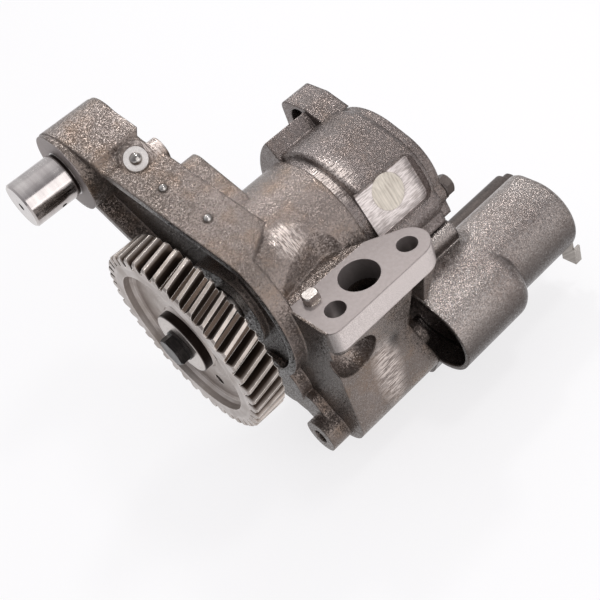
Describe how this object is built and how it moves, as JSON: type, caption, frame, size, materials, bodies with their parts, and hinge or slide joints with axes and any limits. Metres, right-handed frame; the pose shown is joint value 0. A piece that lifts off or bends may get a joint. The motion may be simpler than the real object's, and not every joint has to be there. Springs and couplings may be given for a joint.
{
  "type": "engine oil pump",
  "caption": "Cast iron gear type oil pump for a diesel engine, with a helical drive gear, an arm carrying the idler shaft, an outlet flange and a relief valve housing.",
  "frame": {"origin": "centre of the outlet port, on the face of the outlet flange", "axes": "+Z out of the outlet flange, +X rearward along the pump shafts, away from the drive gear, +Y across the pump towards the idler arm"},
  "size_m": [0.284, 0.2422, 0.2302],
  "materials": {
    "cast_iron": "raw sand cast",
    "machined_iron": "milled",
    "ground_steel": "ground",
    "gear_steel": "ground",
    "black_steel": "black oxide",
    "bright_steel": "polished",
    "bronze": "bored",
    "spring_steel": "drawn wire",
    "zinc_steel": "plated"
  },
  "bodies": {
    "housing": {"front_housing": "cast_iron", "rear_housing": "cast_iron", "rear_cover": "cast_iron", "relief_valve_housing": "cast_iron", "idler_shaft": "bright_steel", "front_bushes": "bronze", "rear_bushes": "bronze", "arm_plug_ring": "ground_steel", "arm_plug_ball": "bright_steel", "arm_ball_plugs": "bright_steel", "flange_pin": "ground_steel", "pad_plug": "machined_iron", "cover_bolts": "black_steel", "housing_bolts": "black_steel", "housing_dowels": "ground_steel", "relief_lug_bolt": "black_steel", "relief_foot_bolts": "black_steel", "relief_spring": "spring_steel", "relief_spring_seat": "ground_steel", "relief_snap_rings": "spring_steel", "valve_lock_plate": "zinc_steel", "pilot_valve_body": "black_steel", "pilot_spring": "spring_steel", "pilot_valve_cap": "black_steel"},
    "drive": {"drive_gear": "gear_steel", "drive_gear_washer": "ground_steel", "drive_gear_bolt": "black_steel", "drive_key": "ground_steel", "drive_shaft": "ground_steel", "pump_drive_gear": "gear_steel"},
    "driven": {"driven_shaft": "ground_steel", "pump_driven_gear": "gear_steel"},
    "relief_valve": {"relief_plunger": "ground_steel"},
    "pilot_valve": {"pilot_plunger": "ground_steel"}
  },
  "joints": [
    {"name": "drive_spin", "type": "hinge", "parent": "housing", "child": "drive", "pos_m": [-0.094, 0.0713, -0.016], "axis": [1, 0, 0], "continuous": true},
    {"name": "driven_spin", "type": "hinge", "parent": "housing", "child": "driven", "pos_m": [0, 0.0509, -0.07877], "axis": [1, 0, 0], "continuous": true},
    {"name": "relief_slide", "type": "slide", "parent": "housing", "child": "relief_valve", "axis": [1, 0, 0], "range_m": [0, 0.014], "stiffness_N_per_m": 9000, "springref_m": -0.01, "deforming": ["relief_spring"]},
    {"name": "pilot_slide", "type": "slide", "parent": "housing", "child": "pilot_valve", "axis": [1, 0, 0], "range_m": [0, 0.005], "stiffness_N_per_m": 3000, "springref_m": -0.004, "deforming": ["pilot_spring"]}
  ],
  "couplings": [
    {"joint": "driven_spin", "follows": "drive_spin", "ratio": -1}
  ]
}
